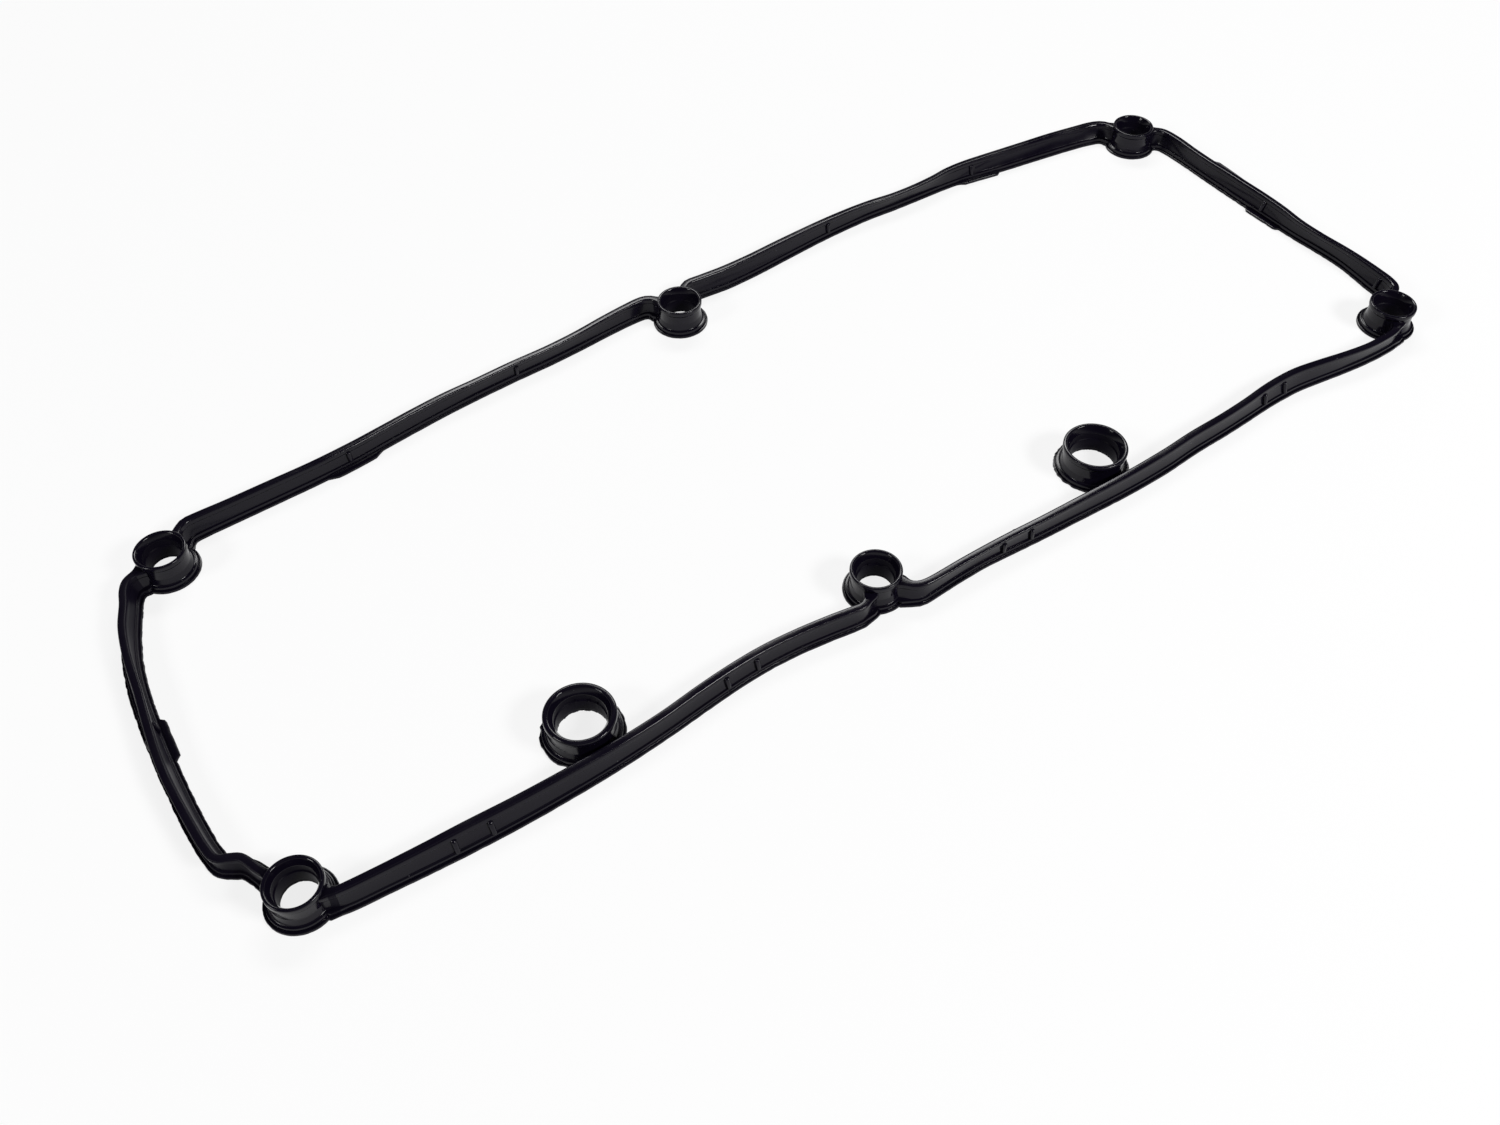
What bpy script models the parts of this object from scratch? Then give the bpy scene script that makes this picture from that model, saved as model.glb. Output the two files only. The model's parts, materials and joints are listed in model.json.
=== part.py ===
"""Valve cover gasket of a four-cylinder engine: one rubber moulding that seals the cover to the head.

A strip with a wide foot and a beaded crest runs round the cover's edge. It passes six bolt collars and
carries two larger rings on the inner side of one long side. Plan positions are millimetres in the
moulding's own drawing, +X along its length; the finished part is moved so that the middle of its
outline, on the sealing face, is the origin.
"""

import math

import bmesh
import bpy
from mathutils import Vector

MM = 0.001
NAME = "gasket"

# Strip section
STRIP_HEIGHT = 7.2
FOOT_WIDTH = 6.2
FOOT_EDGE = 0.8
LIP_SLOPE = 0.15
LEDGE_WIDTH = 4.4
LEDGE_HEIGHT = 2.0
STEM_WIDTH = 2.8
NECK_WIDTH = 2.1
NECK_HEIGHT = 5.3
BEAD_WIDTH = 2.6
CREST_WIDTH = 1.3

# Bolt collars and large rings: the wall stands on a stepped flange and ends in a rolled rim
COLLAR_HEIGHT = 9.8
COLLAR_FLANGE_RADIUS = 9.9
COLLAR_RIM_RADIUS = 8.0
COLLAR_BORE_RADIUS = 6.3
COLLAR_THROAT_RADIUS = 5.5
RING_FLANGE_RADIUS = 12.4
RING_RIM_RADIUS = 10.4
RING_LIP = 0.2
THROAT_HEIGHT = 2.0
RIM_ROLL = 0.75
RIM_OVERHANG = 0.5
RIM_FLARE = 0.5
BORE_STEP_HEIGHT = 5.2
COLLAR_SIDES = 24
RING_SIDES = 28

# Retention ribs and tabs
RIB_RADIUS = 0.6
RIB_BOTTOM = 1.6
RIB_TOP = 6.1
RIB_SIDES = 6
FOOT_TAB_REACH = 1.4
FOOT_TAB_HEIGHT = 0.9
CREST_TAB_REACH = 1.6
CREST_TAB_LOW = 4.9
CREST_TAB_HIGH = 6.5

# Spacing of the sections along the strip: wide where it runs straight, close where it bends
LONGEST_STEP = 14.0
SHORTEST_STEP = 1.8
BEND_PER_STEP = math.radians(12.0)

RUBBER_COLOUR = (0.012, 0.011, 0.014, 1.0)
RUBBER_ROUGHNESS = 0.42

# Collars: the span that arrives there, and the collar's centre from that span's last point
COLLARS = {
    "left_far": ("far_left", (-7.0, -7.2)),
    "middle_far": ("far_right", (-6.8, -7.7)),
    "right_far": ("right", (-7.2, 3.9)),
    "right_near": ("near_right", (3.5, 6.1)),
    "middle_near": ("near_left", (7.0, 5.7)),
    "left_near": ("left", (5.8, -10.6)),
}
# Rings: the span that carries the ring on its inner side, and how far along X
RINGS = {
    "left_ring": ("near_left", -122.1),
    "right_ring": ("near_right", 65.3),
}
RING_OVERLAP = 1.8
RING_BORE_RADII = {
    "left_ring": 8.3,
    "right_ring": 9.0,
}

# The strip from collar to collar, round the loop. Each point is the middle of the foot, and the third
# value is how far the relaxed crest leans outwards of it.
SPANS = {
    "near_left": (
        "left_near",
        "middle_near",
        (
            (-203.2, -68.6, 0.0),
            (-200.6, -70.8, -0.4),
            (-197.0, -71.8, -0.9),
            (-188.0, -72.4, -1.0),
            (-176.0, -73.2, -1.4),
            (-164.0, -73.8, -1.8),
            (-150.0, -74.1, -1.6),
            (-136.0, -73.9, -1.3),
            (-120.0, -73.2, -0.8),
            (-104.0, -71.8, -0.5),
            (-90.0, -70.1, -0.7),
            (-78.0, -68.8, -0.6),
            (-67.0, -68.3, -0.5),
            (-56.0, -68.7, -0.3),
            (-46.0, -69.8, -0.3),
            (-38.0, -70.9, -0.2),
            (-34.4, -71.0, 0.2),
            (-31.4, -69.6, 0.4),
        ),
    ),
    "near_right": (
        "middle_near",
        "right_near",
        (
            (-19.2, -70.2, -0.4),
            (-18.0, -72.8, -0.6),
            (-15.4, -74.2, -0.3),
            (-11.0, -74.1, 0.4),
            (0.0, -73.4, 0.8),
            (10.0, -73.2, 0.9),
            (20.0, -73.7, 0.5),
            (32.0, -74.3, 0.3),
            (44.0, -74.7, 0.1),
            (66.0, -75.4, -0.3),
            (84.0, -75.1, -0.5),
            (98.0, -74.0, -0.4),
            (112.0, -73.5, -0.3),
            (124.0, -72.8, -0.4),
            (134.0, -72.1, -0.8),
            (142.0, -71.9, -1.0),
            (150.0, -72.1, -0.9),
            (160.0, -73.3, -0.4),
            (170.0, -74.6, 0.3),
            (180.0, -75.6, 0.8),
            (188.0, -75.9, 0.7),
            (194.2, -75.6, 0.5),
            (198.4, -73.9, 0.3),
        ),
    ),
    "right": (
        "right_near",
        "right_far",
        (
            (209.2, -62.4, 0.2),
            (212.8, -59.6, 1.1),
            (214.4, -56.0, 1.2),
            (215.2, -50.0, 1.0),
            (216.4, -42.0, 0.1),
            (217.2, -34.0, -0.9),
            (216.9, -24.0, -1.3),
            (216.3, -14.0, -0.7),
            (216.2, -4.0, 0.6),
            (216.2, 6.0, 1.1),
            (216.3, 16.0, 1.0),
            (216.5, 26.0, 0.8),
            (216.7, 34.0, 0.4),
            (217.0, 44.0, 0.4),
            (217.0, 53.0, 1.0),
            (216.2, 60.4, 1.2),
            (213.4, 63.9, 0.8),
        ),
    ),
    "far_right": (
        "right_far",
        "middle_far",
        (
            (201.4, 76.2, 1.0),
            (199.2, 78.4, 1.8),
            (195.0, 79.9, 2.1),
            (188.0, 81.4, 1.8),
            (176.0, 83.1, 2.0),
            (164.0, 84.6, 1.8),
            (152.0, 86.1, 1.6),
            (142.0, 87.6, 1.2),
            (134.0, 88.8, 0.7),
            (126.0, 89.4, 0.0),
            (118.0, 89.6, -1.3),
            (108.0, 89.7, -2.0),
            (98.0, 89.9, -2.0),
            (88.0, 90.4, -1.3),
            (78.0, 90.3, -0.7),
            (66.0, 89.7, -0.2),
            (54.0, 88.6, 0.3),
            (42.0, 87.3, 0.8),
            (30.0, 86.1, 1.0),
            (18.0, 85.5, 1.2),
            (8.0, 86.1, 1.0),
            (2.8, 86.3, 1.0),
            (-0.2, 84.6, 0.8),
        ),
    ),
    "far_left": (
        "middle_far",
        "left_far",
        (
            (-11.4, 83.6, 0.2),
            (-13.6, 86.4, 0.6),
            (-17.0, 87.8, 0.5),
            (-24.0, 87.8, 0.0),
            (-34.0, 87.0, -0.5),
            (-46.0, 85.7, -1.1),
            (-58.0, 84.8, -1.3),
            (-72.0, 84.2, -1.1),
            (-86.0, 83.3, -1.1),
            (-98.0, 82.2, -0.5),
            (-110.0, 80.7, -0.3),
            (-122.0, 79.0, -0.3),
            (-134.0, 77.1, 0.0),
            (-148.0, 75.8, 0.1),
            (-162.0, 75.1, 0.4),
            (-176.0, 74.5, 0.6),
            (-186.0, 74.0, 1.1),
            (-190.4, 73.5, 1.2),
            (-193.6, 71.6, 0.4),
        ),
    ),
    "left": (
        "left_far",
        "left_near",
        (
            (-208.6, 61.9, 0.5),
            (-212.0, 60.1, 1.0),
            (-214.0, 56.9, 1.0),
            (-215.8, 52.0, 0.6),
            (-218.6, 44.0, 0.6),
            (-220.9, 35.0, 0.0),
            (-222.3, 27.0, -0.6),
            (-223.2, 18.0, -0.8),
            (-223.7, 8.0, -0.2),
            (-224.0, -4.0, 0.6),
            (-224.0, -14.0, 0.9),
            (-223.8, -24.0, 0.7),
            (-223.3, -33.0, 0.6),
            (-222.6, -39.5, 0.7),
            (-221.4, -44.3, 0.8),
            (-219.0, -46.4, 0.1),
            (-216.6, -48.0, 0.0),
            (-215.0, -50.4, 0.2),
            (-213.6, -53.8, 0.3),
        ),
    ),
}

# Ribs stand on the stem: the span, how far along X or Y they lie, and the side (1 outside, -1 inside)
RIBS = (
    ("near_left", "x", (-168.5, -158.0, -81.5, -71.0), 1),
    ("near_left", "x", (-163.0, -76.0), -1),
    ("near_right", "x", (16.7, 27.6, 133.0, 143.0), 1),
    ("near_right", "x", (22.5, 138.0), -1),
    ("right", "y", (-53.0, 4.0), -1),
    ("far_right", "x", (137.4, 67.1), -1),
    ("far_left", "x", (-70.4, -135.7), -1),
    ("left", "y", (6.0,), -1),
    ("left", "y", (1.0,), 1),
)
# Wider stretches of the foot, and a small shoulder beside the crest
FOOT_TABS = (
    ("far_left", "x", -125.8, -144.2, -1),
    ("far_right", "x", 149.9, 130.9, -1),
    ("left", "y", 10.9, -5.6, -1),
    ("right", "y", -7.3, 9.9, -1),
)
CREST_TABS = (
    ("right", "y", 13.3, 33.8, 1),
)


def clear_scene():
    for old in list(bpy.data.objects):
        bpy.data.objects.remove(old, do_unlink=True)


def rubber():
    material = bpy.data.materials.new("black_rubber")
    material.use_nodes = True
    shader = material.node_tree.nodes["Principled BSDF"]
    shader.inputs["Base Color"].default_value = RUBBER_COLOUR
    shader.inputs["Roughness"].default_value = RUBBER_ROUGHNESS
    shader.inputs["Metallic"].default_value = 0.0
    material.diffuse_color = RUBBER_COLOUR
    return material


def spline_point(before, start, end, after, share):
    """A point between start and end on the Catmull-Rom curve through all four."""
    tangent_in = (end - before) / 2
    tangent_out = (after - start) / 2
    square = share * share
    cube = square * share
    return (
        start * (2 * cube - 3 * square + 1)
        + tangent_in * (cube - 2 * square + share)
        + end * (3 * square - 2 * cube)
        + tangent_out * (cube - square)
    )


def collar_centre(name):
    span, offset = COLLARS[name]
    last_point = SPANS[span][-1][-1]
    return Vector(last_point[:2]) + Vector(offset)


def span_points(name):
    """A span's points, with one inside the collar at each end; the bore later trims the strip there."""
    first, last, middle = SPANS[name]
    points = [Vector(point) for point in middle]
    ends = []
    for collar, nearest in ((first, points[0]), (last, points[-1])):
        centre = Vector((*collar_centre(collar), nearest.z))
        ends.append(centre.lerp(nearest, COLLAR_THROAT_RADIUS / 2 / (nearest - centre).length))
    return [ends[0], *points, ends[1]]


def dense_route(points, parts=36):
    """Closely spaced points along the smooth curve through the given ones."""
    line = []
    for index in range(len(points) - 1):
        before = points[max(index - 1, 0)]
        after = points[min(index + 2, len(points) - 1)]
        for part in range(parts):
            line.append(spline_point(before, points[index], points[index + 1], after, part / parts))
    line.append(points[-1])
    return line


def flat_direction(line, index):
    ahead = line[min(index + 1, len(line) - 1)]
    behind = line[max(index - 1, 0)]
    return Vector((ahead.x - behind.x, ahead.y - behind.y)).normalized()


def stations(line):
    """Places of the sections: (foot middle, direction outwards, lean) along a dense line."""
    kept = [0]
    for index in range(1, len(line) - 1):
        distance = (line[index].xy - line[kept[-1]].xy).length
        bend = abs(flat_direction(line, index).angle_signed(flat_direction(line, kept[-1])))
        far_enough = distance >= SHORTEST_STEP and bend >= BEND_PER_STEP
        if far_enough or distance >= LONGEST_STEP:
            kept.append(index)
    kept.append(len(line) - 1)
    result = []
    for index in kept:
        along = flat_direction(line, index)
        result.append((line[index].xy, Vector((along.y, -along.x)), line[index].z))
    return result


def strip_section():
    """Half the section from the bottom edge up to the crest: (half width, height)."""
    lip_width = (FOOT_WIDTH + LEDGE_WIDTH) / 2
    return (
        (FOOT_WIDTH / 2, 0.0),
        (FOOT_WIDTH / 2, FOOT_EDGE),
        (lip_width / 2, FOOT_EDGE + LIP_SLOPE),
        (LEDGE_WIDTH / 2, LEDGE_HEIGHT),
        (STEM_WIDTH / 2, LEDGE_HEIGHT + LIP_SLOPE),
        (NECK_WIDTH / 2, NECK_HEIGHT),
        (BEAD_WIDTH / 2, (NECK_HEIGHT + STRIP_HEIGHT) / 2 - LIP_SLOPE),
        (CREST_WIDTH / 2, STRIP_HEIGHT),
    )


def lean_at(height, lean):
    """The sideways shift of the leaning strip at one height: none in the foot, all of it at the crest."""
    share = (height - LEDGE_HEIGHT) / (STRIP_HEIGHT - LEDGE_HEIGHT)
    return lean * min(max(share, 0.0), 1.0)


def stem_half_width(height):
    """Half the stem's width at a height between the ledge and the neck."""
    share = (height - LEDGE_HEIGHT) / (NECK_HEIGHT - LEDGE_HEIGHT)
    return (STEM_WIDTH + (NECK_WIDTH - STEM_WIDTH) * min(max(share, 0.0), 1.0)) / 2


def sweep(mesh, places, section):
    """Adds a closed solid: the section, as (outward offset, height) pairs, carried through the places."""
    rings = []
    for middle, outward, lean in places:
        ring = []
        for offset, height in section:
            spot = middle + outward * (offset + lean_at(height, lean))
            ring.append(mesh.verts.new((spot.x * MM, spot.y * MM, height * MM)))
        rings.append(ring)
    count = len(section)
    for ring, following in zip(rings, rings[1:]):
        for index in range(count):
            beside = (index + 1) % count
            mesh.faces.new((ring[index], ring[beside], following[beside], following[index]))
    mesh.faces.new(rings[0][::-1])
    mesh.faces.new(rings[-1])


def ring_centre(name):
    """A ring stands beside its strip, and its flange overlaps the strip's foot."""
    span, position = RINGS[name]
    line, index = place_on(span, "x", position)
    along = flat_direction(line, index)
    inward = Vector((-along.y, along.x))
    return line[index].xy + inward * (RING_FLANGE_RADIUS + FOOT_WIDTH / 2 - RING_OVERLAP)


def lathe(mesh, centre, profile, sides):
    """Adds a closed solid of revolution. The profile is (radius, height) pairs from the bottom up."""
    rings = []
    for radius, height in profile:
        ring = []
        for index in range(sides):
            angle = math.tau * index / sides
            spot = centre + radius * Vector((math.cos(angle), math.sin(angle)))
            ring.append(mesh.verts.new((spot.x * MM, spot.y * MM, height * MM)))
        rings.append(ring)
    for ring, above in zip(rings, rings[1:]):
        for index in range(sides):
            beside = (index + 1) % sides
            mesh.faces.new((ring[index], ring[beside], above[beside], above[index]))
    mesh.faces.new(rings[0][::-1])
    mesh.faces.new(rings[-1])


def collar_profile(flange_radius, rim_radius):
    wall = rim_radius - RIM_OVERHANG
    rim_low = COLLAR_HEIGHT - 2 * RIM_ROLL
    step = (FOOT_WIDTH - LEDGE_WIDTH) / 2
    return (
        (flange_radius, 0.0),
        (flange_radius, FOOT_EDGE),
        (flange_radius - step / 2, FOOT_EDGE + LIP_SLOPE),
        (flange_radius - step, LEDGE_HEIGHT),
        (wall + RIM_OVERHANG / 2, LEDGE_HEIGHT + 2 * LIP_SLOPE),
        (wall, rim_low),
        (rim_radius, rim_low + RIM_ROLL / 2),
        (rim_radius, COLLAR_HEIGHT - RIM_ROLL),
        (rim_radius - RIM_ROLL / 2, COLLAR_HEIGHT),
    )


def bore_profile(bore_radius, throat_radius):
    """The space inside a collar: a flared mouth, the bore, a step down to the throat and a flared foot."""
    over = 1.0
    return (
        (bore_radius + over, -over),
        (throat_radius, THROAT_HEIGHT),
        (throat_radius, BORE_STEP_HEIGHT - (bore_radius - throat_radius)),
        (bore_radius, BORE_STEP_HEIGHT),
        (bore_radius + RIM_FLARE / 2, COLLAR_HEIGHT - RIM_ROLL),
        (bore_radius + RIM_FLARE, COLLAR_HEIGHT - RIM_ROLL / 4),
        (bore_radius + RIM_FLARE + over, COLLAR_HEIGHT + over),
    )


def place_on(span, axis, position):
    """The dense-line index of a span that lies nearest to a position along X or Y."""
    line = dense_route(span_points(span))
    part = 0 if axis == "x" else 1
    inner = range(1, len(line) - 1)
    return line, min(inner, key=lambda index: abs(line[index][part] - position))


def rib(mesh, span, axis, position, side):
    """Adds a round-ended upright rib, sunk into the stem's face by half its own radius."""
    line, index = place_on(span, axis, position)
    along = flat_direction(line, index)
    outward = Vector((along.y, -along.x))
    levels = (
        (0.0, 0.3),
        (0.2, 1.0),
        (0.8, 1.0),
        (1.0, 0.3),
    )
    rings = []
    for share, fullness in levels:
        height = RIB_BOTTOM + share * (RIB_TOP - RIB_BOTTOM)
        shift = lean_at(height, line[index].z) + side * stem_half_width(height)
        middle = line[index].xy + outward * shift
        ring = []
        for corner in range(RIB_SIDES):
            angle = math.tau * (corner + 0.5) / RIB_SIDES
            spot = middle + RIB_RADIUS * fullness * (outward * math.cos(angle) + along * math.sin(angle))
            ring.append(mesh.verts.new((spot.x * MM, spot.y * MM, height * MM)))
        rings.append(ring)
    for ring, above in zip(rings, rings[1:]):
        for corner in range(RIB_SIDES):
            beside = (corner + 1) % RIB_SIDES
            mesh.faces.new((ring[corner], ring[beside], above[beside], above[corner]))
    mesh.faces.new(rings[0][::-1])
    mesh.faces.new(rings[-1])


def tab(mesh, span, axis, start, end, section):
    """Adds a short solid along a span, from start to end, with the given section."""
    line, first = place_on(span, axis, start)
    line, last = place_on(span, axis, end)
    sweep(mesh, stations(line[min(first, last) : max(first, last) + 1]), section)


def foot_tab_section(side):
    reach = FOOT_WIDTH / 2 + FOOT_TAB_REACH
    return (
        (0.0, 0.0),
        (side * reach, 0.0),
        (side * reach, FOOT_TAB_HEIGHT - LIP_SLOPE),
        (side * (reach - LIP_SLOPE), FOOT_TAB_HEIGHT),
        (0.0, FOOT_TAB_HEIGHT),
    )


def crest_tab_section(side):
    reach = NECK_WIDTH / 2 + CREST_TAB_REACH
    return (
        (0.0, CREST_TAB_LOW),
        (side * reach, CREST_TAB_LOW + LIP_SLOPE),
        (side * reach, CREST_TAB_HIGH - LIP_SLOPE),
        (0.0, CREST_TAB_HIGH),
    )


def new_object(name, fill, helper=True):
    """Makes a mesh object; fill adds the solid to a bmesh. Helpers stay out of the render."""
    mesh = bmesh.new()
    fill(mesh)
    bmesh.ops.recalc_face_normals(mesh, faces=mesh.faces)
    data = bpy.data.meshes.new(name)
    mesh.to_mesh(data)
    mesh.free()
    made = bpy.data.objects.new(name, data)
    bpy.context.scene.collection.objects.link(made)
    if helper:
        made.hide_render = True
        made.display_type = "WIRE"
    return made


def boolean(target, tool, operation):
    modifier = target.modifiers.new(operation.lower() + "_" + tool.name, "BOOLEAN")
    modifier.operation = operation
    modifier.solver = "EXACT"
    modifier.object = tool


def strip_solid(name):
    half = strip_section()
    section = [(offset, height) for offset, height in half] + [(-offset, height) for offset, height in half[::-1]]
    return lambda mesh: sweep(mesh, stations(dense_route(span_points(name))), section)


def build_gasket():
    names = list(SPANS)
    gasket = new_object(NAME, strip_solid(names[0]), helper=False)
    for name in names[1:]:
        boolean(gasket, new_object("strip_" + name, strip_solid(name)), "UNION")
    collar_outside = collar_profile(COLLAR_FLANGE_RADIUS, COLLAR_RIM_RADIUS)
    ring_outside = collar_profile(RING_FLANGE_RADIUS, RING_RIM_RADIUS)
    for name in COLLARS:
        solid = new_object(name, lambda mesh: lathe(mesh, collar_centre(name), collar_outside, COLLAR_SIDES))
        boolean(gasket, solid, "UNION")
    for name in RINGS:
        solid = new_object(name, lambda mesh: lathe(mesh, ring_centre(name), ring_outside, RING_SIDES))
        boolean(gasket, solid, "UNION")
    for number, (span, axis, start, end, side) in enumerate(FOOT_TABS, 1):
        section = foot_tab_section(side)
        solid = new_object(f"foot_tab_{number}", lambda mesh: tab(mesh, span, axis, start, end, section))
        boolean(gasket, solid, "UNION")
    for number, (span, axis, start, end, side) in enumerate(CREST_TABS, 1):
        section = crest_tab_section(side)
        solid = new_object(f"crest_tab_{number}", lambda mesh: tab(mesh, span, axis, start, end, section))
        boolean(gasket, solid, "UNION")
    for span, axis, positions, side in RIBS:
        for position in positions:
            solid = new_object(f"rib_{span}_{position:.0f}", lambda mesh: rib(mesh, span, axis, position, side))
            boolean(gasket, solid, "UNION")
    bore = bore_profile(COLLAR_BORE_RADIUS, COLLAR_THROAT_RADIUS)
    for name in COLLARS:
        cutter = new_object("bore_" + name, lambda mesh: lathe(mesh, collar_centre(name), bore, COLLAR_SIDES))
        boolean(gasket, cutter, "DIFFERENCE")
    for name, radius in RING_BORE_RADII.items():
        profile = bore_profile(radius, radius - RING_LIP)
        cutter = new_object("bore_" + name, lambda mesh: lathe(mesh, ring_centre(name), profile, RING_SIDES))
        boolean(gasket, cutter, "DIFFERENCE")
    return gasket


def move_to_outline_centre(gasket):
    """Moves the part and its helpers so that the outline's middle, on the sealing face, is the origin."""
    bpy.context.view_layer.update()
    evaluated = gasket.evaluated_get(bpy.context.evaluated_depsgraph_get())
    corners = [Vector(corner) for corner in evaluated.bound_box]
    low = Vector(min(corner[axis] for corner in corners) for axis in range(3))
    high = Vector(max(corner[axis] for corner in corners) for axis in range(3))
    shift = Vector((-(low.x + high.x) / 2, -(low.y + high.y) / 2, -low.z))
    for made in bpy.data.objects:
        made.location = shift
    bpy.context.view_layer.update()
    print("moved by mm", [round(value / MM, 3) for value in shift])


def main():
    clear_scene()
    gasket = build_gasket()
    gasket.data.materials.append(rubber())
    move_to_outline_centre(gasket)


main()
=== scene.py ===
"""Valve cover gasket: the finished rubber moulding, its stage, lamps and camera.

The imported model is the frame. The moulding is built again here at full smoothness from the same
route, sections and collar places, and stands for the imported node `gasket`. Lengths written in
millimetres are turned into metres by MM.
"""

import json
import math

import bmesh
import bpy
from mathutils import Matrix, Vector, noise

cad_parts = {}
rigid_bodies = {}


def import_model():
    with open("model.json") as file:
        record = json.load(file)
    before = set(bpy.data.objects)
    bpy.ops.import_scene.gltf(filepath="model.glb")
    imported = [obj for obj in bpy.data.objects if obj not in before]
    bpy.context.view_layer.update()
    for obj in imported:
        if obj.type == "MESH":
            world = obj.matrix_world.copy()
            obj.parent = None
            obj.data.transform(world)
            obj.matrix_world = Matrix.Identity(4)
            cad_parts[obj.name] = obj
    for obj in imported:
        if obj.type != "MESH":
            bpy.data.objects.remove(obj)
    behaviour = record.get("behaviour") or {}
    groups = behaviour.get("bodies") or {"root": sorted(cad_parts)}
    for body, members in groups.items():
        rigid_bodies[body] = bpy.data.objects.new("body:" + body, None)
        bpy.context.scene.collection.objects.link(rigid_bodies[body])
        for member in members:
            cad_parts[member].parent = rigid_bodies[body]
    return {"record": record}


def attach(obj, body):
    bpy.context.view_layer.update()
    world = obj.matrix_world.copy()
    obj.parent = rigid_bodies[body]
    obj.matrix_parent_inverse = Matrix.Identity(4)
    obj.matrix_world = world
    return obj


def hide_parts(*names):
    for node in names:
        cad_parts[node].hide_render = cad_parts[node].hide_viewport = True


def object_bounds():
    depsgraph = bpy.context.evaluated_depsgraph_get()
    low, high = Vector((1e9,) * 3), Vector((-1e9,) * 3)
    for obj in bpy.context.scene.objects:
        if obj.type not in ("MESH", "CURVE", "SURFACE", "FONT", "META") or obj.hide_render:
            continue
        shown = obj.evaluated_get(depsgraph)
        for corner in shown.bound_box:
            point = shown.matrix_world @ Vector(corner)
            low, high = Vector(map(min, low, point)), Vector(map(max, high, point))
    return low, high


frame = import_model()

bl_info = {
    "name": "Valve cover gasket",
    "version": (1, 0, 0),
    "blender": (4, 5, 0),
    "location": "View3D > Sidebar > Gasket",
    "description": "Builds a moulded rubber valve cover gasket and its studio",
    "category": "Object",
}

MM = 0.001
NODE = "gasket"
BODY = "root"
CAD_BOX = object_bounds()

# Collars: the span that arrives there, and the collar's centre from that span's last point, in mm
COLLARS = {
    "left_far": ("far_left", (-7.0, -7.2)),
    "middle_far": ("far_right", (-6.8, -7.7)),
    "right_far": ("right", (-7.2, 3.9)),
    "right_near": ("near_right", (3.5, 6.1)),
    "middle_near": ("near_left", (7.0, 5.7)),
    "left_near": ("left", (5.8, -10.6)),
}
# Rings: centres in the moulding's own drawing, in mm
RINGS = {
    "left_ring": (-123.0, -59.7),
    "right_ring": (65.6, -61.7),
}

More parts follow.
